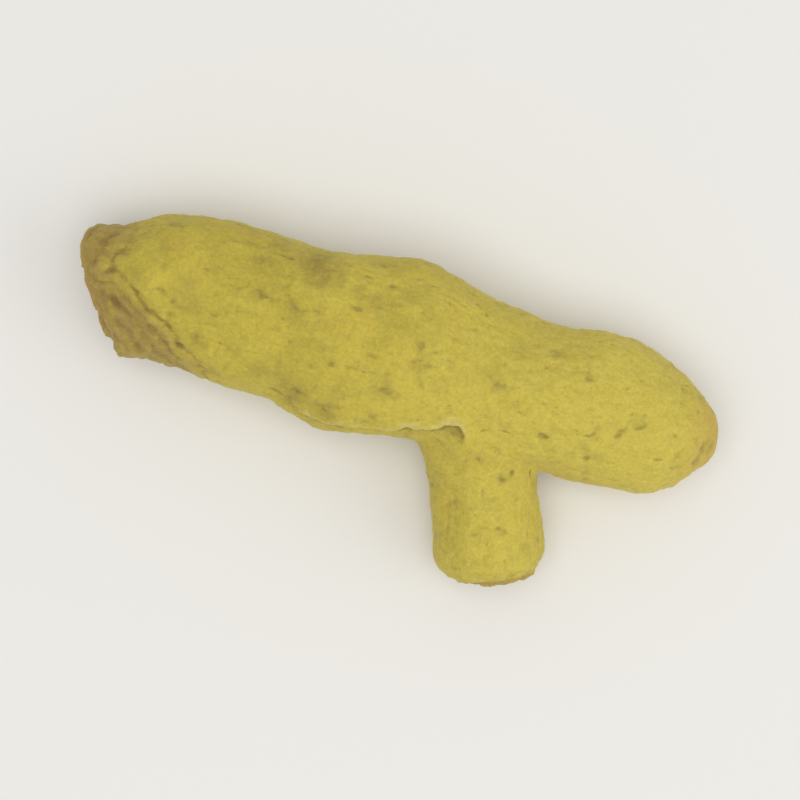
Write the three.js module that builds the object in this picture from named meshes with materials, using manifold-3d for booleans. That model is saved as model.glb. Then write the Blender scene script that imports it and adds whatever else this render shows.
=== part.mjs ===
// A dried, polished turmeric finger with one short side shoot, lying on its belly.
// Millimetres, +Z up. +X runs from the broken base to the rounded tip, and the shoot points to -Y.
import * as THREE from "three";
import { mergeVertices } from "three/addons/utils/BufferGeometryUtils.js";
import Module from "manifold-3d";

// Stations along the finger: distance from the base, sideways drift of the middle, half width
// across, and height of the middle above the surface that the finger lies on.
const FINGER_STATIONS = [
  { along: 2.0, across: 0.3, halfWidth: 4.9, height: 6.5 },
  { along: 5.4, across: 0.6, halfWidth: 5.3, height: 6.3 },
  { along: 8.4, across: 1.8, halfWidth: 6.5, height: 6.0 },
  { along: 13.5, across: 1.9, halfWidth: 6.55, height: 6.2 },
  { along: 18.5, across: 1.6, halfWidth: 6.8, height: 6.8 },
  { along: 22.3, across: 1.0, halfWidth: 7.3, height: 7.3 },
  { along: 26.0, across: 1.2, halfWidth: 7.4, height: 7.4 },
  { along: 29.8, across: 1.75, halfWidth: 7.6, height: 7.4 },
  { along: 34.5, across: 0.9, halfWidth: 6.8, height: 6.8 },
  { along: 39.5, across: 0.45, halfWidth: 6.45, height: 6.2 },
  { along: 44.5, across: 0.7, halfWidth: 6.45, height: 5.75 },
  { along: 48.5, across: 0.65, halfWidth: 6.1, height: 5.4 },
  { along: 52.0, across: 0.3, halfWidth: 5.6, height: 5.3 },
  { along: 56.8, across: 0.4, halfWidth: 4.9, height: 5.3 },
];
const FINGER_DEPTH_TO_WIDTH = 0.94;

// The base was snapped off its parent root on a slant, and the tip is a blunt dome.
const BASE_SLANT = 0.6;
const BASE_SLANT_REACH = 8;
const BASE_EDGE = { length: 2.4, squareness: 2.6 };
const TIP_DOME = { length: 6, squareness: 2.15 };

// The side shoot, from a root inside the finger to its worn end on the surface.
const SHOOT_ROOT = new THREE.Vector3(35.6, 0.6, 6.6);
const SHOOT_END = new THREE.Vector3(41.2, -15.9, 3.7);
const SHOOT_STATIONS = [
  { along: 0, radius: 5.2 },
  { along: 5.6, radius: 5.5 },
  { along: 8.2, radius: 4.75 },
  { along: 11, radius: 4.55 },
  { along: 14, radius: 4.7 },
  { along: 17.7, radius: 4.3 },
];
const SHOOT_INNER_EDGE = { length: 1.5, squareness: 2 };
const SHOOT_WORN_END = { length: 2.8, squareness: 2.3 };

// Shallow swellings that wind round the finger, so that it isn't a plain round tube. They fade
// where an end closes to less than the stated radius.
const SWELLING = { rise: 0.22, wavelength: 11.4, lobes: 2, fadeRadius: 4 };

// Facets of the solid, and how much closer together the rings lie near an end.
const FINGER_RINGS = 56;
const FINGER_SIDES = 44;
const SHOOT_RINGS = 22;
const SHOOT_SIDES = 28;
const END_CROWDING = 0.7;
const MERGE_DISTANCE = 1e-4;

// The block under the finger that trims its worn flat spots, longer and wider than the finger.
const TRIM_BLOCK = { length: 80, width: 60, depth: 10 };

const SKIN_COLOUR = 0xc4b43e;
const SKIN_ROUGHNESS = 0.9;

const wasm = await Module();
wasm.setup();

// How much of the full girth is left near an end, 0 at the very end and 1 past the rounded edge.
function endFullness(distance, edge) {
  const inside = Math.max(0, 1 - distance / edge.length);
  return Math.pow(1 - Math.pow(inside, edge.squareness), 1 / edge.squareness);
}

// Ring positions from 0 to 1, crowded towards both ends.
function ringShare(index, count) {
  const even = index / count;
  const crowded = (1 - Math.cos(Math.PI * even)) / 2;
  return THREE.MathUtils.lerp(even, crowded, END_CROWDING);
}

// A closed body of revolution about +Y whose rings stand at the given shares of its length.
function ringedBody(rings, sides, radiusAt) {
  const profile = [];
  for (let i = 0; i <= rings; i++) {
    const share = ringShare(i, rings);
    const atEnd = i === 0 || i === rings;
    profile.push(new THREE.Vector2(atEnd ? 0 : radiusAt(share), share));
  }
  return new THREE.LatheGeometry(profile, sides);
}

function forEachVertex(geometry, move) {
  const position = geometry.getAttribute("position");
  const vertex = new THREE.Vector3();
  for (let i = 0; i < position.count; i++) {
    vertex.fromBufferAttribute(position, i);
    move(vertex);
    position.setXYZ(i, vertex.x, vertex.y, vertex.z);
  }
}

function fingerGeometry() {
  const middle = new THREE.CatmullRomCurve3(
    FINGER_STATIONS.map((s) => new THREE.Vector3(s.along, s.across, s.height)),
  );
  const girth = new THREE.SplineCurve(
    FINGER_STATIONS.map((s) => new THREE.Vector2(s.along, s.halfWidth)),
  );
  const first = FINGER_STATIONS[0].along;
  const last = FINGER_STATIONS[FINGER_STATIONS.length - 1].along;
  const geometry = ringedBody(FINGER_RINGS, FINGER_SIDES, (share) => {
    const at = girth.getPoint(share);
    return at.y * endFullness(at.x - first, BASE_EDGE) * endFullness(last - at.x, TIP_DOME);
  });
  forEachVertex(geometry, (v) => {
    const centre = middle.getPoint(v.y);
    const around = Math.atan2(v.x, v.z);
    const radius = swollenRadius(Math.hypot(v.x, v.z), centre.x, around);
    const across = radius * Math.cos(around);
    const up = radius * Math.sin(around) * FINGER_DEPTH_TO_WIDTH;
    const slant = BASE_SLANT * Math.max(0, 1 - (centre.x - first) / BASE_SLANT_REACH);
    v.set(centre.x - across * slant, centre.y + across, centre.z + up);
  });
  return geometry;
}

function swollenRadius(radius, along, around) {
  const turn = (2 * Math.PI * along) / SWELLING.wavelength + SWELLING.lobes * around;
  return radius + SWELLING.rise * Math.sin(turn) * Math.min(1, radius / SWELLING.fadeRadius);
}

function shootGeometry() {
  const length = SHOOT_ROOT.distanceTo(SHOOT_END);
  const girth = new THREE.SplineCurve(
    SHOOT_STATIONS.map((s) => new THREE.Vector2(s.along, s.radius)),
  );
  const geometry = ringedBody(SHOOT_RINGS, SHOOT_SIDES, (share) => {
    const along = share * length;
    const radius = girth.getPoint(share).y;
    return radius * endFullness(along, SHOOT_INNER_EDGE) * endFullness(length - along, SHOOT_WORN_END);
  });
  geometry.scale(1, length, 1);
  const direction = SHOOT_END.clone().sub(SHOOT_ROOT).normalize();
  const turn = new THREE.Quaternion().setFromUnitVectors(new THREE.Vector3(0, 1, 0), direction);
  geometry.applyQuaternion(turn);
  geometry.translate(SHOOT_ROOT.x, SHOOT_ROOT.y, SHOOT_ROOT.z);
  return geometry;
}

function toSolid(geometry) {
  geometry.deleteAttribute("normal");
  geometry.deleteAttribute("uv");
  const merged = mergeVertices(geometry, MERGE_DISTANCE);
  return new wasm.Manifold(
    new wasm.Mesh({
      numProp: 3,
      vertProperties: new Float32Array(merged.getAttribute("position").array),
      triVerts: new Uint32Array(merged.getIndex().array),
    }),
  );
}

function toGeometry(solid) {
  const mesh = solid.getMesh();
  const geometry = new THREE.BufferGeometry();
  geometry.setAttribute("position", new THREE.BufferAttribute(mesh.vertProperties, 3));
  geometry.setIndex(new THREE.BufferAttribute(mesh.triVerts, 1));
  return geometry;
}

// Everything below the surface that the finger lies on.
function trimBlockGeometry() {
  const { length, width, depth } = TRIM_BLOCK;
  const fingerLength = FINGER_STATIONS[FINGER_STATIONS.length - 1].along;
  return new THREE.BoxGeometry(length, width, depth).translate(fingerLength / 2, 0, -depth / 2);
}

const grown = toSolid(fingerGeometry()).add(toSolid(shootGeometry()));
const rested = toGeometry(grown.subtract(toSolid(trimBlockGeometry())));
rested.computeBoundingBox();
const middleOfBox = rested.boundingBox.getCenter(new THREE.Vector3());
rested.translate(-middleOfBox.x, -middleOfBox.y, 0);
rested.computeVertexNormals();

const skin = new THREE.MeshStandardMaterial({
  color: SKIN_COLOUR,
  roughness: SKIN_ROUGHNESS,
  metalness: 0,
});
const finger = new THREE.Mesh(rested, skin);
finger.name = "turmeric_finger";

const part = new THREE.Group();
part.add(finger);

export default part;
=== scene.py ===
import math

import bmesh
import bpy
import numpy as np
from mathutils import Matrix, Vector


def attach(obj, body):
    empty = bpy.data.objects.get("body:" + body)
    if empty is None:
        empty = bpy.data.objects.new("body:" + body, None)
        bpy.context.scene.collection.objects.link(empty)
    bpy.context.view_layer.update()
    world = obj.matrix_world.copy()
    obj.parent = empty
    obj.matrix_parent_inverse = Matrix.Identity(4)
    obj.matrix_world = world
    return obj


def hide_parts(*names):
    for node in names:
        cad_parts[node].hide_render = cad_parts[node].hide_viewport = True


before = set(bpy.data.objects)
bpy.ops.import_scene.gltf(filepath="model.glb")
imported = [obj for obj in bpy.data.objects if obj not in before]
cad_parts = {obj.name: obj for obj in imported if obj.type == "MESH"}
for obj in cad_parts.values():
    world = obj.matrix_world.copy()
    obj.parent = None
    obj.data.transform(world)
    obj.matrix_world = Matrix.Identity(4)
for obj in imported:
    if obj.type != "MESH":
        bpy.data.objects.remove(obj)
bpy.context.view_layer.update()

# Form of the finger
# One piece of turmeric rhizome, boiled and dried until it is hard as horn, with one short side shoot.
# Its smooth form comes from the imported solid, remeshed finely so that the skin can be carved into it.

MM = 0.001
MERGE_DISTANCE = 0.002 * MM
GRID = 0.19 * MM
SMOOTHING_STEP = 0.5
SMOOTHING_ROUNDS = 14


def evaluated_mesh(thing):
    """The mesh of an object with its modifiers applied."""
    graph = bpy.context.evaluated_depsgraph_get()
    return bpy.data.meshes.new_from_object(thing.evaluated_get(graph))


def merged_copy(source, name):
    """A new object with the source's mesh, its loose triangles joined at their shared corners."""
    mesh = bpy.data.meshes.new(name)
    build = bmesh.new()
    build.from_mesh(source.data)
    bmesh.ops.remove_doubles(build, verts=build.verts, dist=MERGE_DISTANCE)
    build.to_mesh(mesh)
    build.free()
    made = bpy.data.objects.new(name, mesh)
    bpy.context.scene.collection.objects.link(made)
    return made


finger = merged_copy(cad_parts["turmeric_finger"], "turmeric_finger_skin")
remesh = finger.modifiers.new("even grid", "REMESH")
remesh.mode = "VOXEL"
remesh.voxel_size = GRID
remesh.use_smooth_shade = True
soften = finger.modifiers.new("soften facets", "SMOOTH")
soften.factor = SMOOTHING_STEP
soften.iterations = SMOOTHING_ROUNDS
smooth_form = evaluated_mesh(finger)
finger.modifiers.clear()
finger.data = smooth_form

# Growth lines
# Every mark on the skin follows the way the root grew: along the finger from its base to its tip, along
# the shoot, and in rings where scale leaves sat. Lengths in this section are in millimetres.

# places on the finger's middle line, from its base to its tip: along, across and up
MIDDLE_LINE = np.array([
    (-26.7, 3.9, 6.5), (-20.3, 5.35, 6.0), (-15.2, 5.45, 6.2), (-10.2, 5.15, 6.8), (-5.0, 4.6, 7.3),
    (1.1, 5.3, 7.4), (5.8, 4.45, 6.8), (10.8, 4.0, 6.2), (15.8, 4.25, 5.75), (20.0, 4.2, 5.4),
    (28.0, 3.95, 5.3),
])
MIDDLE_LINE_BENDS = 6
SHOOT_ROOT = np.array((6.9, 4.15, 6.6))
SHOOT_END = np.array((12.5, -12.35, 3.7))
# where the shoot's own lines take over: distance along the shoot, and from its middle
SHOOT_STARTS = (6.4, 9.0)
SHOOT_GIRTH = (5.5, 7.5)

# distance of each ring along its body, and how plainly it still shows after polishing
RINGS = {
    "finger": ((-19.8, 0.5), (-15.4, 0.35), (-10.2, 0.6), (-4.8, 0.35), (1.6, 0.6), (8.2, 0.35),
               (16.0, 0.6), (20.8, 0.4), (24.0, 0.5), (25.9, 1.0), (27.1, 1.4)),
    "shoot": ((9.4, 0.6), (12.4, 0.5)),
}
RING_SLANT = 0.12
RING_WANDER = 0.45
RING_TWIST = 0.31

# how squarely the skin faces along the growth on a flank and on an end; where the painted light towards the
# tip, partly the skin's own paler tone, starts and is full; and where the painted warm shade on the tip
# starts and is full
FLANK_TO_END = (0.55, 0.95)
TO_TIP_REACH = (-24.0, 26.0)
PAINTED_TIP_SHADE_REACH = (22.5, 28.0)


def smoothstep(low, high, value):
    """0 below the low value, 1 above the high one, and a soft rise between them."""
    share = np.clip((value - low) / (high - low), 0, 1)
    return share * share * (3 - 2 * share)


def store(mesh, name, values):
    """Keeps one number or one vector for each vertex under a name that the nodes read."""
    kind, slot = ("FLOAT_VECTOR", "vector") if values.ndim == 2 else ("FLOAT", "value")
    mesh.attributes.new(name, kind, "POINT").data.foreach_set(slot, values.astype(np.float32).ravel())


def vertex_array(mesh, what):
    """The places or the normals of a mesh's vertices, one row for each."""
    values = np.empty(len(mesh.vertices) * 3)
    mesh.vertices.foreach_get(what, values)
    return values.reshape(-1, 3)


points = vertex_array(finger.data, "co") / MM
normals = vertex_array(finger.data, "normal")

bend_across = np.polynomial.Polynomial.fit(MIDDLE_LINE[:, 0], MIDDLE_LINE[:, 1], MIDDLE_LINE_BENDS)
bend_up = np.polynomial.Polynomial.fit(MIDDLE_LINE[:, 0], MIDDLE_LINE[:, 2], MIDDLE_LINE_BENDS)
along = points[:, 0]
across = points[:, 1] - bend_across(along)
up = points[:, 2] - bend_up(along)

shoot_way = (SHOOT_END - SHOOT_ROOT) / np.linalg.norm(SHOOT_END - SHOOT_ROOT)
shoot_side = np.cross(shoot_way, (0, 0, 1))
shoot_side /= np.linalg.norm(shoot_side)
shoot_axes = np.stack([shoot_way, shoot_side, np.cross(shoot_side, shoot_way)], 1)
shoot_lines = (points - SHOOT_ROOT) @ shoot_axes
shoot_radius = np.hypot(shoot_lines[:, 1], shoot_lines[:, 2])
on_shoot = smoothstep(*SHOOT_STARTS, shoot_lines[:, 0]) * (1 - smoothstep(*SHOOT_GIRTH, shoot_radius))
store(finger.data, "on_shoot", on_shoot)

growth = {"finger": np.stack([along, across, up], 1), "shoot": shoot_lines}
for body, lines in growth.items():
    turn = np.arctan2(lines[:, 2], lines[:, 1])
    wander = RING_WANDER * np.sin(2 * turn + RING_TWIST * lines[:, 0]) + RING_SLANT * lines[:, 1]
    places, plainness = np.array(RINGS[body]).T
    gaps = (lines[:, 0] + wander)[:, None] - places[None, :]
    nearest = np.abs(gaps).argmin(1)
    store(finger.data, f"{body}_grain", lines)
    store(finger.data, f"{body}_ring_gap", gaps[np.arange(len(points)), nearest])
    store(finger.data, f"{body}_ring_plain", plainness[nearest])

# one set of growth lines for the colours, how squarely the skin faces away from the growth, and how
# near it is to the tip
grain = growth["finger"] * (1 - on_shoot)[:, None] + growth["shoot"] * on_shoot[:, None]
facing_end = np.abs(normals[:, 0]) * (1 - on_shoot) + np.abs(normals @ shoot_way) * on_shoot
store(finger.data, "grain", grain)
store(finger.data, "flank", 1 - smoothstep(*FLANK_TO_END, facing_end))
# painted light: lighter towards the tip, partly the skin's own paler tone
store(finger.data, "to_tip", smoothstep(*TO_TIP_REACH, along))
# painted shade: a warm tan on the tip where it bends away
store(finger.data, "at_tip", smoothstep(*PAINTED_TIP_SHADE_REACH, along))

# Broken ends
# The finger was snapped off its parent root on a slant, and the shoot was worn off short. A break shows
# a ring between bark and core, and the skin beside the big one keeps brown arcs that follow its edge.

# how squarely the skin faces out of a break, and where along its body the break is
FACE_SQUARENESS = (0.62, 0.9)
BASE_FACE_NORMAL = np.array((-0.86, -0.5, 0.1))
BASE_FACE_SLANT = 0.6
BASE_FACE_REACH = (-27.2, -24.0)
SHOOT_FACE_REACH = (14.6, 16.0)

# the base's edge: where it meets the middle line, its slant, and how far across it keeps that slant
BREAK_START = -26.0
BREAK_SLANT = 1.3
SLANTED_ACROSS = (-6.0, 1.0)

# distances from that edge, and how much further the brown reaches on the side away from the shoot; this
# brown is partly the base's own skin and partly painted shade on the base end
ARCS_START = (-3.0, -1.5)
ARCS_END = (1.6, 3.0)
BASE_BROWN_REACH = (-0.4, 3.0)
BASE_BROWN_BEND = 0.45
BROWN_BENT_ACROSS = (0.0, 4.0)

base_way = BASE_FACE_NORMAL / np.linalg.norm(BASE_FACE_NORMAL)
base_face = smoothstep(*FACE_SQUARENESS, normals @ base_way)
base_face *= 1 - smoothstep(*BASE_FACE_REACH, along + BASE_FACE_SLANT * across)
shoot_face = smoothstep(*FACE_SQUARENESS, normals @ shoot_way)
shoot_face *= smoothstep(*SHOOT_FACE_REACH, shoot_lines[:, 0])
store(finger.data, "broken", np.maximum(base_face, shoot_face))

slant_length = math.hypot(1, BREAK_SLANT)
from_break = (along - BREAK_START + BREAK_SLANT * np.clip(across, *SLANTED_ACROSS)) / slant_length
from_brown = from_break - BASE_BROWN_BEND * np.clip(across, *BROWN_BENT_ACROSS) / slant_length
arc_share = smoothstep(*ARCS_START, from_break) * (1 - smoothstep(*ARCS_END, from_break))
store(finger.data, "from_break", from_break)
# partly painted shade: the base end is coloured brown for its skin and for the shade on that end
store(finger.data, "base_brown", 1 - smoothstep(*BASE_BROWN_REACH, from_brown))
store(finger.data, "arc_share", arc_share * (1 - base_face))

# how far each spot of a break lies from its middle, 1 at its edge: a flat round face of radius r has
# a mean squared distance of r squared over 2
from_core = np.full(len(points), 2.0)
for face in (base_face, shoot_face):
    face_centre = (points * face[:, None]).sum(0) / face.sum()
    reach = np.linalg.norm(points - face_centre, axis=1)
    face_radius = math.sqrt(2 * (reach ** 2 * face).sum() / face.sum())
    from_core = np.minimum(from_core, reach / face_radius)
store(finger.data, "from_core", from_core)

# Torn scale ledge
# The scale leaf at the shoot's node was torn off and left a thin pale step along the lower side of the
# finger, which ends in a small hook beside the shoot. A few short nicks are as old as the tear.

# distance along the finger, and degrees round it from the top towards the shoot
LEDGE = ((-8.8, 55), (-7.2, 66), (-5.6, 70), (-2.5, 66), (1.0, 62), (4.1, 53), (6.1, 45), (6.9, 51),
         (6.9, 61))
NICKS = (((19.0, 26), (19.9, 8)), ((12.6, 29), (14.0, 33)), ((-3.2, -19), (-5.0, -22)),
         ((-14.0, -130), (-11.9, -126)), ((10.5, -75), (12.1, -80)))
NICK_WIDTH = 0.32
SKIN_RADIUS = 7.0
LEDGE_REACH = 2.0

# shares of the ledge's length where it has risen and where it starts to fade, and of its reach where it
# starts to blend into the skin
LEDGE_RISEN = 0.22
LEDGE_FADES = 0.80
LEDGE_BLENDS = 0.8


def unrolled(places):
    """Places on the skin, given along the finger and in degrees round it, as if it were rolled out flat."""
    flat = np.array(places, float)
    flat[:, 1] *= -SKIN_RADIUS * math.pi / 180
    return flat


def distance_to_path(flat_points, path):
    """Signed distance in the plane to a path, positive on its left, and the share of the path passed."""
    best = np.full(len(flat_points), np.inf)
    signed = np.zeros(len(flat_points))
    passed = np.zeros(len(flat_points))
    legs = len(path) - 1
    for leg in range(legs):
        start, step = path[leg], path[leg + 1] - path[leg]
        offset = flat_points - start
        share = np.clip(offset @ step / (step @ step), 0, 1)
        gap = offset - share[:, None] * step
        distance = np.hypot(*gap.T)
        closer = distance < best
        side = np.sign(step[0] * offset[:, 1] - step[1] * offset[:, 0])
        best[closer] = distance[closer]
        signed[closer] = (side * distance)[closer]
        passed[closer] = ((leg + share) / legs)[closer]
    return signed, passed


# from -180 to 180: 0 at the top, and positive towards the shoot
degrees_round = (np.degrees(np.arctan2(up, across)) - 90 + 180) % 360 - 180
flat_skin = unrolled(np.stack([along, degrees_round], 1))
ledge_gap, ledge_passed = distance_to_path(flat_skin, unrolled(LEDGE))
ledge_share = smoothstep(0, LEDGE_RISEN, ledge_passed) * (1 - smoothstep(LEDGE_FADES, 1, ledge_passed))
ledge_share *= 1 - smoothstep(LEDGE_BLENDS * LEDGE_REACH, LEDGE_REACH, np.abs(ledge_gap))
nicked = np.zeros(len(points))
for nick in NICKS:
    nick_gap, nick_passed = distance_to_path(flat_skin, unrolled(nick))
    nicked -= np.exp(-(nick_gap / NICK_WIDTH) ** 2) * np.sin(np.pi * nick_passed)
store(finger.data, "ledge_gap", ledge_gap)
store(finger.data, "ledge_share", ledge_share)
store(finger.data, "nicked", nicked)

# Seen pits and stains
# Thin roots once grew out of the skin and broke off when the crop was cleaned, leaving small pits, and
# soil and juice dried into olive stains. These are the ones on the near side, the rest are scattered.

# place seen from above, radius and depth
SEEN_PITS = (
    (-25.1, 5.2, 0.55, 0.16), (-23.6, 3.3, 0.7, 0.18), (-17.5, 0.85, 0.4, 0.11), (-15.5, -0.1, 0.36, 0.16),
    (-9.2, -0.8, 0.45, 0.15), (-7.2, -0.5, 0.4, 0.1), (-4.7, -1.4, 0.42, 0.12), (7.9, 4.6, 0.4, 0.05),
    (8.7, -2.2, 0.35, 0.09), (11.7, -2.6, 0.4, 0.14), (13.4, -2.3, 0.45, 0.14),
)
# place seen from above, radius, and how dark
SEEN_STAINS = (
    (-25.0, 5.2, 0.9, 0.7), (-23.6, 3.3, 1.1, 0.8), (-22.2, 5.8, 0.9, 0.6), (-20.5, 8.1, 0.9, 0.4),
    (-20.2, 1.4, 1.5, 0.6), (-16.7, 3.9, 1.1, 0.4), (-16.3, 1.7, 0.8, 0.6), (-12.4, 9.3, 1.0, 0.6),
    (-12.3, 7.2, 0.9, 0.3), (-11.6, 11.2, 0.8, 0.7), (-7.9, 10.2, 1.4, 1.0), (-7.8, 8.6, 0.8, 0.7),
    (-7.4, -0.6, 1.2, 0.7), (-4.7, -1.3, 1.0, 0.7), (-4.2, 8.9, 0.6, 0.5), (-3.9, 8.0, 1.1, 0.4),
    (-0.4, 2.3, 0.6, 0.4), (0.1, 6.8, 1.0, 0.4), (2.0, 6.4, 0.7, 0.4), (5.1, 3.6, 0.8, 0.35),
    (7.9, 4.6, 1.0, 0.45), (8.7, -2.2, 0.9, 0.5), (9.9, 7.5, 1.0, 0.35),
)
STAIN_LENGTHENING = 1.5
STAINED_FACING = (-0.1, 0.3)
# a pit is put on the upper skin at its place, so height below the top counts as distance, at this rate
HEIGHT_AS_DISTANCE = 0.3

pit_places = []
for x, y, _, _ in SEEN_PITS:
    drop = points[:, 2].max() - points[:, 2]
    reach = np.hypot(points[:, 0] - x, points[:, 1] - y) + HEIGHT_AS_DISTANCE * drop
    pit_places.append(points[reach.argmin()] * MM)
pit_mesh = bpy.data.meshes.new("seen_pits")
pit_mesh.from_pydata(pit_places, [], [])
store(pit_mesh, "mark_radius", np.array(SEEN_PITS)[:, 2] * MM)
store(pit_mesh, "mark_depth", np.array(SEEN_PITS)[:, 3] * MM)
seen_pits = bpy.data.objects.new("seen_pits", pit_mesh)

stain = np.zeros(len(points))
for x, y, radius, darkness in SEEN_STAINS:
    reach = np.hypot((points[:, 0] - x) / STAIN_LENGTHENING, points[:, 1] - y) / radius
    stain = np.maximum(stain, darkness * np.exp(-reach ** 2) * smoothstep(*STAINED_FACING, normals[:, 2]))
store(finger.data, "stain", stain)

# Skin relief
# Drying shrinks the root, so its skin wrinkles along the finger and dents between the rings. Polishing
# in a drum then rubs the high spots smooth, and leaves the wrinkles shallow and the rings faint.

RELIEF_INPUTS = {
    "Lump Rise": 0.26 * MM,
    "Dent Depth": 0.11 * MM,
    "Wrinkle Depth": 0.085 * MM,
    "Streak Depth": 0.045 * MM,
    "Crease Depth": 0.09 * MM,
    "Ring Depth": 0.20 * MM,
    "Arc Depth": 0.10 * MM,
    "Ledge Rise": 0.26 * MM,
    "Nick Depth": 0.17 * MM,
    "Grain Depth": 0.038 * MM,
    "Break Hollow": 0.30 * MM,
    "Break Roughness": 0.40 * MM,
    "Fibre Ends": 0.07 * MM,
    "Dimple Spacing": 2.6 * MM,
    "Dimple Smallest": 0.5 * MM,
    "Dimple Largest": 1.1 * MM,
    "Dimple Steepness": 0.10,
    "Pit Spacing": 2.8 * MM,
    "Pit Smallest": 0.16 * MM,
    "Pit Largest": 0.36 * MM,
    "Pit Steepness": 0.26,
    "Seed": 11,
}
# attributes of the smooth form, and of the marks scattered on it, that the relief reads
NUMBERS_READ = ("on_shoot", "broken", "flank", "nicked", "from_break", "from_core", "arc_share",
                "ledge_gap", "ledge_share", "fine_rise", "mark_radius", "mark_depth",
                "finger_ring_gap", "finger_ring_plain", "shoot_ring_gap", "shoot_ring_plain")
VECTORS_READ = ("finger_grain", "shoot_grain")

# unevenness in space: width in mm, detail, roughness, and whether it is centred on zero
FIELDS = {
    "edge": (0.6, 2.0, 0.5, True),
    "grain": (0.7, 2.0, 0.6, True),
    "break": (2.0, 4.0, 0.55, True),
    "patch": (3.0, 2.0, 0.5, False),
    "wobble": (3.2, 2.5, 0.5, True),
    "wide patch": (4.2, 3.0, 0.5, False),
    "lump": (5.2, 1.5, 0.5, True),
}
# what shows in patches: the field that it follows, the field's value where it starts to rise and is
# full, its share between the patches, and how it eases in
PATCHES = {
    "crease": ("wide patch", 0.46, 0.64, 0.0, "SMOOTHSTEP"),
    "ring": ("patch", 0.40, 0.62, 0.08, "SMOOTHSTEP"),
    "arc": ("patch", 0.35, 0.60, 0.30, "LINEAR"),
    "torn edge": ("wide patch", 0.35, 0.60, 0.35, "LINEAR"),
}

# input that gives the depth, length against width, width in mm, detail, distortion
WRINKLES = (
    ("Dent Depth", 2.0, 2.2, 2.0, 0.3),
    ("Wrinkle Depth", 2.6, 1.0, 2.0, 0.5),
    ("Streak Depth", 2.0, 0.5, 2.0, 0.2),
)
# the drawn-out field that creases follow, and how far from zero it gets within a crease, which is
# deepest where the field passes zero
CREASE_LENGTHENING = 2.8
CREASE_SPACING = 2.8
CREASE_DETAIL = 2.0
CREASE_DISTORTION = 0.8
CREASE_WIDTH = 0.2

# heights across a ring, a ledge and a break: 0.5 is the level of the skin, 0 and 1 are the depth below
# and above it, and a break is crossed from its middle to its edge
RING_PROFILE = ((0.0, 0.5), (0.18, 0.51), (0.34, 0.61), (0.44, 0.56), (0.53, 0.24), (0.65, 0.45),
                (0.82, 0.50), (1.0, 0.5))
LEDGE_PROFILE = ((0.0, 0.5), (0.30, 0.36), (0.46, 0.16), (0.53, 0.92), (0.60, 0.98), (0.75, 0.70),
                 (1.0, 0.5))
BREAK_PROFILE = ((0.0, 0.10), (0.35, 0.14), (0.55, 0.22), (0.64, 0.14), (0.74, 0.32), (0.88, 0.45),
                 (1.0, 0.5))
RING_REACH = 2.5

# what is crossed: the attribute that measures the way across, the field and the amount by which the
# line wanders, where the crossing starts and ends, and its profile
CROSSINGS = (
    ("finger", "finger_ring_gap", "wobble", 1.0, -RING_REACH, RING_REACH, RING_PROFILE),
    ("shoot", "shoot_ring_gap", "wobble", 1.0, -RING_REACH, RING_REACH, RING_PROFILE),
    ("ledge", "ledge_gap", "wobble", 1.0, -LEDGE_REACH, LEDGE_REACH, LEDGE_PROFILE),
    ("break", "from_core", "break", 0.12, 0.0, 1.0, BREAK_PROFILE),
)
FRAYING = 0.12
ARC_SPACING = 1.05
ARC_WOBBLE = 0.8

# a break: how ragged its edge is and where that is full, where it starts and is full, what is left of
# the wrinkles on an unbroken end, and the fibre bundles' spacing and softness
RAGGEDNESS = 0.8
RAGGED_BY = 0.4
BREAK_EDGE = (0.2, 0.8)
WRINKLED_ON_ENDS = 0.35
FIBRE_SPACING = 0.5
FIBRE_END = (0.05, 0.5)

# marks scattered on the skin: size of their patches in mm, the field's value where they start to
# gather and are densest, and their density between the patches
SCATTERED = (
    ("Dimple", 8.0, 0.36, 0.60, 0.25),
    ("Pit", 6.0, 0.52, 0.68, 0.01),
)
DENSEST = 60000.0
MARK_SQUEEZE = (0.7, 1, 1)
MARK_UNEVENNESS = 0.3
MARK_REACH = 1.15

# height above the surroundings: rounds of blur that make the surroundings, and a typical height
SURROUNDINGS = (
    ("near_height", 8, 0.03 * MM),
    ("wide_height", 60, 0.08 * MM),
)


def add(tree, kind, inputs=None, **settings):
    """Adds a node. An input takes a value, an output, or a node, whose output in use is then meant."""
    node = tree.nodes.new(kind)
    for name, value in settings.items():
        setattr(node, name, value)
    in_use = [socket for socket in node.inputs if socket.enabled]
    for key, value in (inputs or {}).items():
        socket = in_use[key] if isinstance(key, int) else node.inputs[key]
        if isinstance(value, bpy.types.Node):
            value = next(output for output in value.outputs if output.enabled)
        if isinstance(value, bpy.types.NodeSocket):
            tree.links.new(value, socket)
        else:
            socket.default_value = value
    return node


relief = bpy.data.node_groups.new("turmeric relief", "GeometryNodeTree")
relief.interface.new_socket("Geometry", in_out="INPUT", socket_type="NodeSocketGeometry")
relief.interface.new_socket("Seen Pits", in_out="INPUT", socket_type="NodeSocketObject")
relief.interface.new_socket("Skin", in_out="INPUT", socket_type="NodeSocketMaterial")
for name, value in RELIEF_INPUTS.items():
    kind = "NodeSocketInt" if isinstance(value, int) else "NodeSocketFloat"
    relief.interface.new_socket(name, in_out="INPUT", socket_type=kind).default_value = value
relief.interface.new_socket("Geometry", in_out="OUTPUT", socket_type="NodeSocketGeometry")

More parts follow.
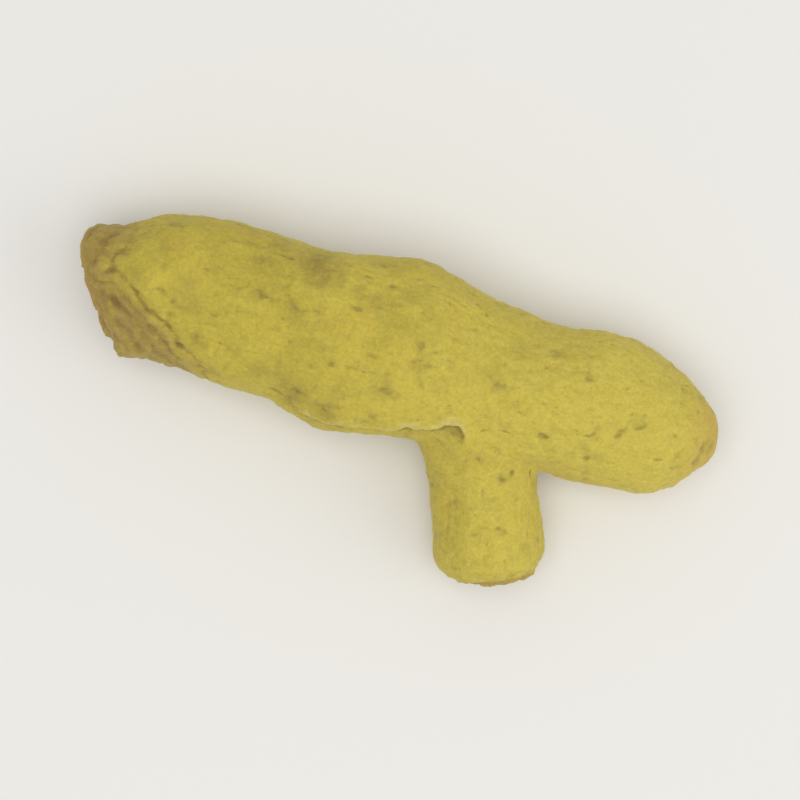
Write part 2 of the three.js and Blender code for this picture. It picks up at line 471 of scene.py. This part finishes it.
given = add(relief, "NodeGroupInput").outputs
place = add(relief, "GeometryNodeInputPosition")
normal = add(relief, "GeometryNodeInputNormal")
in_mm = add(relief, "ShaderNodeVectorMath", {0: place, 1: (1 / MM,) * 3}, operation="MULTIPLY")
kept = {}
for names, data_type in ((NUMBERS_READ, "FLOAT"), (VECTORS_READ, "FLOAT_VECTOR")):
    for name in names:
        kept[name] = add(relief, "GeometryNodeInputNamedAttribute", {"Name": name}, data_type=data_type)
fields = {}
for name, (width, detail, roughness, centred) in FIELDS.items():
    fields[name] = add(relief, "ShaderNodeTexNoise",
                       {"Vector": in_mm, "Scale": 1 / width, "Detail": detail, "Roughness": roughness},
                       normalize=not centred)
patches = {}
for name, (field, start, full, least, easing) in PATCHES.items():
    patches[name] = add(relief, "ShaderNodeMapRange",
                        {0: fields[field], 1: start, 2: full, 3: least, 4: 1.0}, interpolation_type=easing)

# where each spot lies across its nearest ring, across the ledge and across its break, from 0 to 1; each
# line wanders unevenly, and its profile gives the height from -1 to 1
heights = {}
for name, gap, field, wobble, start, end, profile in CROSSINGS:
    wandering = add(relief, "ShaderNodeMath", {0: fields[field], 1: wobble, 2: kept[gap]},
                    operation="MULTIPLY_ADD")
    frayed = add(relief, "ShaderNodeMath", {0: fields["edge"], 1: FRAYING * wobble, 2: wandering},
                 operation="MULTIPLY_ADD")
    crossed = add(relief, "ShaderNodeMapRange", {0: frayed, 1: start, 2: end, 3: 0.0, 4: 1.0})
    shape = add(relief, "ShaderNodeFloatCurve", {"Value": crossed})
    curve = shape.mapping.curves[0]
    curve.points[0].location = profile[0]
    curve.points[-1].location = profile[-1]
    for x, y in profile[1:-1]:
        curve.points.new(x, y)
    shape.mapping.update()
    heights[name] = add(relief, "ShaderNodeMath", {0: shape, 1: 2.0, 2: -1.0}, operation="MULTIPLY_ADD")

body_rises = {}
body_rings = {}
for body in ("finger", "shoot"):
    rise = 0.0
    for depth, lengthening, width, detail, distortion in WRINKLES:
        drawn_out = add(relief, "ShaderNodeVectorMath",
                        {0: kept[f"{body}_grain"], 1: (1 / lengthening, 1, 1)}, operation="MULTIPLY")
        wrinkle = add(relief, "ShaderNodeTexNoise",
                      {"Vector": drawn_out, "Scale": 1 / width, "Detail": detail, "Distortion": distortion},
                      normalize=False)
        rise = add(relief, "ShaderNodeMath", {0: wrinkle, 1: given[depth], 2: rise},
                   operation="MULTIPLY_ADD")

    drawn_out = add(relief, "ShaderNodeVectorMath",
                    {0: kept[f"{body}_grain"], 1: (1 / CREASE_LENGTHENING, 1, 1)}, operation="MULTIPLY")
    crease = add(relief, "ShaderNodeTexNoise",
                 {"Vector": drawn_out, "Scale": 1 / CREASE_SPACING, "Detail": CREASE_DETAIL,
                  "Distortion": CREASE_DISTORTION}, normalize=False)
    off_crease = add(relief, "ShaderNodeMath", {0: crease}, operation="ABSOLUTE")
    in_crease = add(relief, "ShaderNodeMapRange", {0: off_crease, 1: 0.0, 2: CREASE_WIDTH, 3: -1.0, 4: 0.0},
                    interpolation_type="SMOOTHSTEP")
    patchy = add(relief, "ShaderNodeMath", {0: in_crease, 1: patches["crease"]}, operation="MULTIPLY")
    rise = add(relief, "ShaderNodeMath", {0: patchy, 1: given["Crease Depth"], 2: rise},
               operation="MULTIPLY_ADD")

    # a ring is a low swelling with a shallow groove on its tip side
    plain = add(relief, "ShaderNodeMath", {0: kept[f"{body}_ring_plain"], 1: patches["ring"]},
                operation="MULTIPLY")
    body_rings[body] = add(relief, "ShaderNodeMath", {0: heights[body], 1: plain}, operation="MULTIPLY")
    body_rises[body] = add(relief, "ShaderNodeMath", {0: body_rings[body], 1: given["Ring Depth"], 2: rise},
                           operation="MULTIPLY_ADD")

skin_rise = add(relief, "ShaderNodeMix",
                {0: kept["on_shoot"], 1: body_rises["finger"], 2: body_rises["shoot"]})
ring_amount = add(relief, "ShaderNodeMix",
                  {0: kept["on_shoot"], 1: body_rings["finger"], 2: body_rings["shoot"]})

# arcs beside the snapped base
wandering = add(relief, "ShaderNodeMath", {0: fields["wobble"], 1: ARC_WOBBLE, 2: kept["from_break"]},
                operation="MULTIPLY_ADD")
phase = add(relief, "ShaderNodeMath", {0: wandering, 1: 2 * math.pi / ARC_SPACING}, operation="MULTIPLY")
wave = add(relief, "ShaderNodeMath", {0: phase}, operation="SINE")
patchy = add(relief, "ShaderNodeMath", {0: wave, 1: patches["arc"]}, operation="MULTIPLY")
arc_amount = add(relief, "ShaderNodeMath", {0: patchy, 1: kept["arc_share"]}, operation="MULTIPLY")
skin_rise = add(relief, "ShaderNodeMath", {0: arc_amount, 1: given["Arc Depth"], 2: skin_rise},
                operation="MULTIPLY_ADD")

# wrinkles fade on the rounded ends and are gone on the breaks, whose edges are ragged
raggedness = add(relief, "ShaderNodeMapRange",
                 {0: kept["broken"], 1: 0.0, 2: RAGGED_BY, 3: 0.0, 4: RAGGEDNESS})
ragged = add(relief, "ShaderNodeMath", {0: fields["break"], 1: raggedness, 2: kept["broken"]},
             operation="MULTIPLY_ADD")
break_share = add(relief, "ShaderNodeMapRange", {0: ragged, 1: BREAK_EDGE[0], 2: BREAK_EDGE[1]},
                  interpolation_type="SMOOTHSTEP")
whole = add(relief, "ShaderNodeMath", {0: 1.0, 1: break_share}, operation="SUBTRACT")
wrinkled = add(relief, "ShaderNodeMapRange", {0: kept["flank"], 3: WRINKLED_ON_ENDS, 4: 1.0})
skin_share = add(relief, "ShaderNodeMath", {0: whole, 1: wrinkled}, operation="MULTIPLY")
fine_rise = add(relief, "ShaderNodeMath", {0: skin_rise, 1: skin_share}, operation="MULTIPLY")

# the torn edge of the scale leaf is thick in some places and almost gone in others
torn_share = add(relief, "ShaderNodeMath", {0: kept["ledge_share"], 1: patches["torn edge"]},
                 operation="MULTIPLY")
ledge_amount = add(relief, "ShaderNodeMath", {0: heights["ledge"], 1: torn_share}, operation="MULTIPLY")

# on a break, a ring goes round the core, and the ends of fibre bundles stand out
fibre_cells = add(relief, "ShaderNodeTexVoronoi", {"Vector": in_mm, "Scale": 1 / FIBRE_SPACING})
fibre_ends = add(relief, "ShaderNodeMapRange",
                 {0: fibre_cells.outputs["Distance"], 1: FIBRE_END[0], 2: FIBRE_END[1], 3: 1.0, 4: 0.0},
                 interpolation_type="SMOOTHSTEP")
on_break = {}
for depth, amount in (("Break Hollow", heights["break"]), ("Break Roughness", fields["break"]),
                      ("Fibre Ends", fibre_ends)):
    on_break[depth] = add(relief, "ShaderNodeMath", {0: amount, 1: break_share}, operation="MULTIPLY")

for depth, amount in (("Grain Depth", fields["grain"]), ("Ledge Rise", ledge_amount),
                      ("Nick Depth", kept["nicked"]), *on_break.items()):
    fine_rise = add(relief, "ShaderNodeMath", {0: amount, 1: given[depth], 2: fine_rise},
                    operation="MULTIPLY_ADD")

# wide soft dimples all over, and small pits that gather in patches
mark_amounts = {}
for kind, patch_size, low, high, scarcest in SCATTERED:
    gather_field = add(relief, "ShaderNodeTexNoise",
                       {"Vector": in_mm, "W": low, "Scale": 1 / patch_size}, noise_dimensions="4D")
    gathered = add(relief, "ShaderNodeMapRange", {0: gather_field, 1: low, 2: high, 3: scarcest, 4: 1.0})
    scattered = add(relief, "GeometryNodeDistributePointsOnFaces",
                    {"Mesh": given["Geometry"], "Distance Min": given[f"{kind} Spacing"],
                     "Density Max": DENSEST, "Density Factor": gathered, "Seed": given["Seed"]},
                    distribute_method="POISSON").outputs["Points"]
    radius = add(relief, "FunctionNodeRandomValue",
                 {0: given[f"{kind} Smallest"], 1: given[f"{kind} Largest"], "Seed": given["Seed"]})
    depth = add(relief, "ShaderNodeMath", {0: radius, 1: given[f"{kind} Steepness"]}, operation="MULTIPLY")
    marks = add(relief, "GeometryNodeStoreNamedAttribute",
                {"Geometry": scattered, "Name": "mark_radius", "Value": radius})
    marks = add(relief, "GeometryNodeStoreNamedAttribute",
                {"Geometry": marks, "Name": "mark_depth", "Value": depth})
    if kind == "Pit":
        seen = add(relief, "GeometryNodeObjectInfo", {"Object": given["Seen Pits"]}).outputs["Geometry"]
        seen = add(relief, "GeometryNodeMeshToPoints", {"Mesh": seen})
        marks = add(relief, "GeometryNodeJoinGeometry", {"Geometry": marks})
        relief.links.new(seen.outputs[0], marks.inputs[0])
    nearest_mark = add(relief, "GeometryNodeSampleNearest", {"Geometry": marks})
    sampled = {}
    for name, value, data_type in (("place", place, "FLOAT_VECTOR"),
                                   ("radius", kept["mark_radius"], "FLOAT"),
                                   ("depth", kept["mark_depth"], "FLOAT")):
        sampled[name] = add(relief, "GeometryNodeSampleIndex", {0: marks, 1: value, 2: nearest_mark},
                            data_type=data_type)
    offset = add(relief, "ShaderNodeVectorMath", {0: place, 1: sampled["place"]}, operation="SUBTRACT")
    squeezed = add(relief, "ShaderNodeVectorMath", {0: offset, 1: MARK_SQUEEZE}, operation="MULTIPLY")
    distance = add(relief, "ShaderNodeVectorMath", {0: squeezed}, operation="LENGTH")
    share = add(relief, "ShaderNodeMath", {0: distance, 1: sampled["radius"]}, operation="DIVIDE")
    uneven = add(relief, "ShaderNodeMath", {0: fields["edge"], 1: MARK_UNEVENNESS, 2: share},
                 operation="MULTIPLY_ADD")
    mark_amounts[kind] = add(relief, "ShaderNodeMapRange",
                             {0: uneven, 1: 0.0, 2: MARK_REACH, 3: -1.0, 4: 0.0},
                             interpolation_type="SMOOTHSTEP")
    fine_rise = add(relief, "ShaderNodeMath", {0: mark_amounts[kind], 1: sampled["depth"], 2: fine_rise},
                    operation="MULTIPLY_ADD")

full_rise = add(relief, "ShaderNodeMath", {0: fields["lump"], 1: given["Lump Rise"], 2: fine_rise},
                operation="MULTIPLY_ADD")

skin_form = given["Geometry"]
for name, value in (("fine_rise", fine_rise), ("ring", ring_amount), ("arc", arc_amount),
                    ("ledge", ledge_amount), ("break_share", break_share),
                    ("break_height", heights["break"]), ("fibre_ends", fibre_ends),
                    ("pit", mark_amounts["Pit"]), ("dimple", mark_amounts["Dimple"])):
    skin_form = add(relief, "GeometryNodeStoreNamedAttribute",
                    {"Geometry": skin_form, "Name": name, "Value": value})
offset = add(relief, "ShaderNodeVectorMath", {0: normal, "Scale": full_rise}, operation="SCALE")
skin_form = add(relief, "GeometryNodeSetPosition", {"Geometry": skin_form, "Offset": offset})

# how far each spot lies above its surroundings, near and wide, against a typical height
for name, rounds, typical in SURROUNDINGS:
    around = add(relief, "GeometryNodeBlurAttribute", {"Value": kept["fine_rise"], "Iterations": rounds})
    height = add(relief, "ShaderNodeMath", {0: kept["fine_rise"], 1: around}, operation="SUBTRACT")
    height = add(relief, "ShaderNodeMath", {0: height, 1: typical}, operation="DIVIDE")
    skin_form = add(relief, "GeometryNodeStoreNamedAttribute",
                    {"Geometry": skin_form, "Name": name, "Value": height})

# nothing reaches below the surface that the finger lies on, so its flat spots stay flat
apart = add(relief, "ShaderNodeSeparateXYZ", {0: place}).outputs
lifted = add(relief, "ShaderNodeMath", {0: apart["Z"], 1: 0.0}, operation="MAXIMUM")
resting = add(relief, "ShaderNodeCombineXYZ", {"X": apart["X"], "Y": apart["Y"], "Z": lifted})
skin_form = add(relief, "GeometryNodeSetPosition", {"Geometry": skin_form, "Position": resting})
skin_form = add(relief, "GeometryNodeRealizeInstances", {"Geometry": skin_form})
skin_form = add(relief, "GeometryNodeSetMaterial", {"Geometry": skin_form, "Material": given["Skin"]})
add(relief, "NodeGroupOutput", {"Geometry": skin_form})

# Dried turmeric skin
# Dried, drum-polished turmeric: hard, starchy and matt, mustard yellow where the drum rubbed it, duller
# and browner where skin is left in rings, pits and on the snapped base, and dusted with its own powder.
# Painted shade also darkens the hollows and the base end, painted light makes the finger lighter towards
# its tip, and painted warm shade lies on the tip where it bends away.


def colour(hex_code):
    """An sRGB hex colour as the linear values that the nodes take."""
    parts = [int(hex_code[i:i + 2], 16) / 255 for i in (1, 3, 5)]
    linear = [c / 12.92 if c <= 0.04045 else ((c + 0.055) / 1.055) ** 2.4 for c in parts]
    return (*linear, 1.0)


RUBBED_YELLOW = colour("#CFBD4C")
PLAIN_YELLOW = colour("#C1AF46")
WARM_YELLOW = colour("#C8AB49")
# painted light towards the tip, partly the skin's own paler tone
TIP_YELLOW_AND_PAINTED_LIGHT = colour("#D3C157")
# painted warm shade on the tip where it bends away
PAINTED_TIP_SHADE_TAN = colour("#C5A251")
OLIVE_SKIN = colour("#A09347")
HOLLOW_BROWN = colour("#927F40")
PIT_BROWN = colour("#6E5B31")
# brown of the base end, partly its skin and partly painted shade
BASE_BROWN = colour("#9B8047")
ARC_BROWN = colour("#806A38")
BREAK_OCHRE = colour("#AC8E4A")
CORE_OCHRE = colour("#9C753B")
FIBRE_PALE = colour("#BBA25C")
PALE_DUST = colour("#D8CC8C")

# colour, length against width, width in mm, detail, noise where it starts and is full, greatest share
BLOTCHES = (
    (RUBBED_YELLOW, 1.0, 6.5, 3.0, 0.42, 0.60, 0.70),
    (WARM_YELLOW, 1.0, 3.4, 3.0, 0.50, 0.68, 0.45),
    (OLIVE_SKIN, 1.1, 3.0, 4.0, 0.50, 0.70, 0.42),
    (OLIVE_SKIN, 0.6, 1.0, 4.0, 0.48, 0.72, 0.36),
    (HOLLOW_BROWN, 2.2, 0.8, 3.0, 0.54, 0.74, 0.20),
)
BLOTCH_ROUGHNESS = 0.58
# attribute, colour, value where it starts and is full, greatest share
MARKS = (
    # painted light: lighter towards the tip, partly the skin's own paler tone
    ("to_tip", TIP_YELLOW_AND_PAINTED_LIGHT, 0.2, 0.95, 0.75),
    # painted shade: a warm tan on the tip where it bends away
    ("at_tip", PAINTED_TIP_SHADE_TAN, 0.1, 0.95, 0.65),
    ("wide_height", RUBBED_YELLOW, 0.2, 1.2, 0.50),
    # painted shade: darker in hollows, which also stands for skin left in them
    ("wide_height", HOLLOW_BROWN, -0.3, -1.5, 0.42),
    ("near_height", HOLLOW_BROWN, -0.5, -2.2, 0.38),
    ("dimple", OLIVE_SKIN, -0.2, -1.0, 0.35),
    ("ring", HOLLOW_BROWN, -0.05, -0.45, 0.42),
    ("stain", HOLLOW_BROWN, 0.05, 1.0, 0.78),
    # partly painted shade on the base end, partly its brown skin
    ("base_brown", BASE_BROWN, 0.0, 1.0, 0.88),
    ("arc", ARC_BROWN, -0.1, -0.9, 0.60),
    ("arc", FIBRE_PALE, 0.1, 0.9, 0.50),
    ("pit", PIT_BROWN, -0.3, -1.0, 0.36),
    ("ledge", ARC_BROWN, -0.1, -0.7, 0.50),
    ("ledge", PALE_DUST, 0.3, 0.9, 0.45),
    ("break_share", BREAK_OCHRE, 0.0, 0.9, 0.85),
)
# on a break only: attribute, colour, value where it starts and is full, greatest share
BREAK_MARKS = (
    ("break_height", CORE_OCHRE, -0.3, -0.75, 0.80),
    # painted shade: darker in the dents of a break
    ("near_height", ARC_BROWN, -0.6, -3.0, 0.60),
    ("near_height", FIBRE_PALE, 0.6, 3.0, 0.60),
    ("fibre_ends", FIBRE_PALE, 0.3, 1.0, 0.35),
)

# what each follows, width in mm, detail, roughness, distortion, and its weakest and strongest effect.
# The real powder is 0.02 mm fine and is drawn fourteen times coarser, and the real fibres are 0.1 mm
# thick and are drawn four times coarser, so that both show.
FINE_FIELDS = {
    "unevenness": ("place", 0.9, 4.0, 0.6, 0.0, 0.45, 1.2),
    "powder": ("place", 0.28, 5.0, 0.72, 0.0, 0.85, 1.12),
    "fibres": ("fibre way", 0.4, 4.0, 0.6, 0.4, 0.97, 1.03),
    "matness": ("place", 2.0, 2.0, 0.5, 0.0, 0.80, 0.96),
}
FIBRE_LENGTHENING = 2.0
NOISE_LOW = 0.3
NOISE_HIGH = 0.7

skin = bpy.data.materials.new("dried_turmeric_skin")
skin.use_nodes = True
shade = skin.node_tree
shade.nodes.clear()

object_place = add(shade, "ShaderNodeTexCoord").outputs["Object"]
place_mm = add(shade, "ShaderNodeVectorMath", {0: object_place, 1: (1 / MM,) * 3}, operation="MULTIPLY")
grain_mm = add(shade, "ShaderNodeAttribute", attribute_name="grain").outputs["Vector"]
fibre_way = add(shade, "ShaderNodeVectorMath", {0: grain_mm, 1: (1 / FIBRE_LENGTHENING, 1, 1)},
                operation="MULTIPLY")

followed = {"place": place_mm, "fibre way": fibre_way}
fine = {}
effects = {}
for name, (way, width, detail, roughness, distortion, weakest, strongest) in FINE_FIELDS.items():
    fine[name] = add(shade, "ShaderNodeTexNoise",
                     {"Vector": followed[way], "Scale": 1 / width, "Detail": detail, "Roughness": roughness,
                      "Distortion": distortion})
    effects[name] = add(shade, "ShaderNodeMapRange",
                        {0: fine[name], 1: NOISE_LOW, 2: NOISE_HIGH, 3: weakest, 4: strongest})

tone = PLAIN_YELLOW
for number, (tint, lengthening, width, detail, start, full, greatest) in enumerate(BLOTCHES):
    drawn_out = add(shade, "ShaderNodeVectorMath", {0: grain_mm, 1: (1 / lengthening, 1, 1)},
                    operation="MULTIPLY")
    blotch = add(shade, "ShaderNodeTexNoise",
                 {"Vector": drawn_out, "W": number, "Scale": 1 / width, "Detail": detail,
                  "Roughness": BLOTCH_ROUGHNESS}, noise_dimensions="4D")
    share = add(shade, "ShaderNodeMapRange", {0: blotch, 1: start, 2: full, 3: 0.0, 4: greatest},
                interpolation_type="SMOOTHSTEP")
    tone = add(shade, "ShaderNodeMix", {0: share, 1: tone, 2: tint}, data_type="RGBA")

# no mark is even
on_a_break = add(shade, "ShaderNodeAttribute", attribute_name="break_share").outputs["Fac"]
broken_unevenness = add(shade, "ShaderNodeMath", {0: on_a_break, 1: effects["unevenness"]},
                        operation="MULTIPLY")
for marks, strength in ((MARKS, effects["unevenness"]), (BREAK_MARKS, broken_unevenness)):
    for name, tint, start, full, greatest in marks:
        mark = add(shade, "ShaderNodeAttribute", attribute_name=name).outputs["Fac"]
        measure = add(shade, "ShaderNodeMath", {0: mark, 1: strength}, operation="MULTIPLY")
        share = add(shade, "ShaderNodeMapRange", {0: measure, 1: start, 2: full, 3: 0.0, 4: greatest},
                    interpolation_type="SMOOTHSTEP")
        tone = add(shade, "ShaderNodeMix", {0: share, 1: tone, 2: tint}, data_type="RGBA")

# powder lies over fine fibres that run along the growth
for name in ("powder", "fibres"):
    tone = add(shade, "ShaderNodeHueSaturation", {"Color": tone, "Value": effects[name]})
powder_normal = add(shade, "ShaderNodeBump",
                    {"Height": fine["powder"], "Distance": 0.07 * MM, "Strength": 0.8})
skin_normal = add(shade, "ShaderNodeBump",
                  {"Height": fine["fibres"], "Distance": 0.06 * MM, "Strength": 0.7,
                   "Normal": powder_normal})

surface = add(shade, "ShaderNodeBsdfPrincipled", {
    "Base Color": tone,
    "Roughness": effects["matness"],
    "IOR": 1.45,
    "Specular IOR Level": 0.3,
    "Sheen Weight": 0.45,
    "Sheen Roughness": 0.45,
    "Sheen Tint": PALE_DUST,
    "Normal": skin_normal,
})
add(shade, "ShaderNodeOutputMaterial", {"Surface": surface})

# Carving the finger
# The finger is one piece, so the whole relief is carved into its smooth form at once. The result, with
# its skin on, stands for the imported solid.

carving = finger.modifiers.new("relief", "NODES")
carving.node_group = relief
socket_names = {item.name: item.identifier for item in relief.interface.items_tree if item.in_out == "INPUT"}
carving[socket_names["Seen Pits"]] = seen_pits
carving[socket_names["Skin"]] = skin
for name, value in RELIEF_INPUTS.items():
    carving[socket_names[name]] = value
carved_mesh = evaluated_mesh(finger)
finger.modifiers.clear()
finger.data = carved_mesh
bpy.data.objects.remove(seen_pits)
carved_mesh.name = "turmeric_finger_skin"
carved_mesh.polygons.foreach_set("use_smooth", np.ones(len(carved_mesh.polygons), bool))

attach(finger, "root")
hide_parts("turmeric_finger")

# Camera
# The photograph looks at the finger's broad side, which faces up here. So the camera looks straight
# down on it, turned so that the finger slopes down to the right.

SLOPE = math.radians(14)
SENSOR_MM = 36
CAMERA_HEIGHT = 0.24
MIDDLE_HEIGHT = 0.007
NEAREST_SEEN = 0.01
FILLS = 0.80

right = Vector((math.cos(SLOPE), math.sin(SLOPE), 0))
above_it = Vector((-math.sin(SLOPE), math.cos(SLOPE), 0))
outline = vertex_array(finger.data, "co")
spread_right = outline @ np.array(right)
spread_up = outline @ np.array(above_it)
centre = (right * float(spread_right.min() + spread_right.max()) / 2
          + above_it * float(spread_up.min() + spread_up.max()) / 2)
widest = float(spread_right.max() - spread_right.min())

camera_data = bpy.data.cameras.new("camera")
camera_data.sensor_width = SENSOR_MM
camera_data.clip_start = NEAREST_SEEN
camera_data.lens = SENSOR_MM * (CAMERA_HEIGHT - MIDDLE_HEIGHT) * FILLS / widest
camera = bpy.data.objects.new("camera", camera_data)
camera.location = centre + Vector((0, 0, CAMERA_HEIGHT))
camera.rotation_euler = (0, 0, SLOPE)
bpy.context.scene.collection.objects.link(camera)
bpy.context.scene.camera = camera

# Floor and light
# A pale plain floor, a large soft box high over the finger on the shoot's side, a weak fill from the
# right, and a pale room all round.

FLOOR_SIZE = 4.0
FLOOR_PALE = colour("#EFEDE8")
FLOOR_ROUGHNESS = 0.9
ROOM_WHITE = (1, 1, 1, 1)
ROOM_BRIGHTNESS = 0.52

half = FLOOR_SIZE / 2
floor_mesh = bpy.data.meshes.new("floor")
floor_corners = [(-half, -half, 0), (half, -half, 0), (half, half, 0), (-half, half, 0)]
floor_mesh.from_pydata(floor_corners, [], [(0, 1, 2, 3)])
floor = bpy.data.objects.new("floor", floor_mesh)
bpy.context.scene.collection.objects.link(floor)
paint = bpy.data.materials.new("pale_floor")
paint.use_nodes = True
painted = paint.node_tree.nodes["Principled BSDF"]
painted.inputs["Base Color"].default_value = FLOOR_PALE
painted.inputs["Roughness"].default_value = FLOOR_ROUGHNESS
floor_mesh.materials.append(paint)


def soft_box(name, towards, distance, size, power):
    """A square area light that shines on the finger from the given direction."""
    lamp = bpy.data.lights.new(name, "AREA")
    lamp.size = size
    lamp.energy = power
    made = bpy.data.objects.new(name, lamp)
    way = towards.normalized()
    made.location = centre + way * distance
    made.rotation_euler = way.to_track_quat("Z", "Y").to_euler()
    bpy.context.scene.collection.objects.link(made)


key_way = -right * 0.05 - above_it * 0.12 + Vector((0, 0, 1.0))
fill_way = right * 0.9 - above_it * 0.3 + Vector((0, 0, 0.8))
soft_box("key", key_way, distance=0.6, size=0.5, power=1.6)
soft_box("fill", fill_way, distance=0.7, size=0.5, power=0.8)

world = bpy.data.worlds.new("room")
world.use_nodes = True
room_light = world.node_tree.nodes["Background"].inputs
room_light["Color"].default_value = ROOM_WHITE
room_light["Strength"].default_value = ROOM_BRIGHTNESS
bpy.context.scene.world = world
bpy.context.scene.view_settings.view_transform = "Standard"
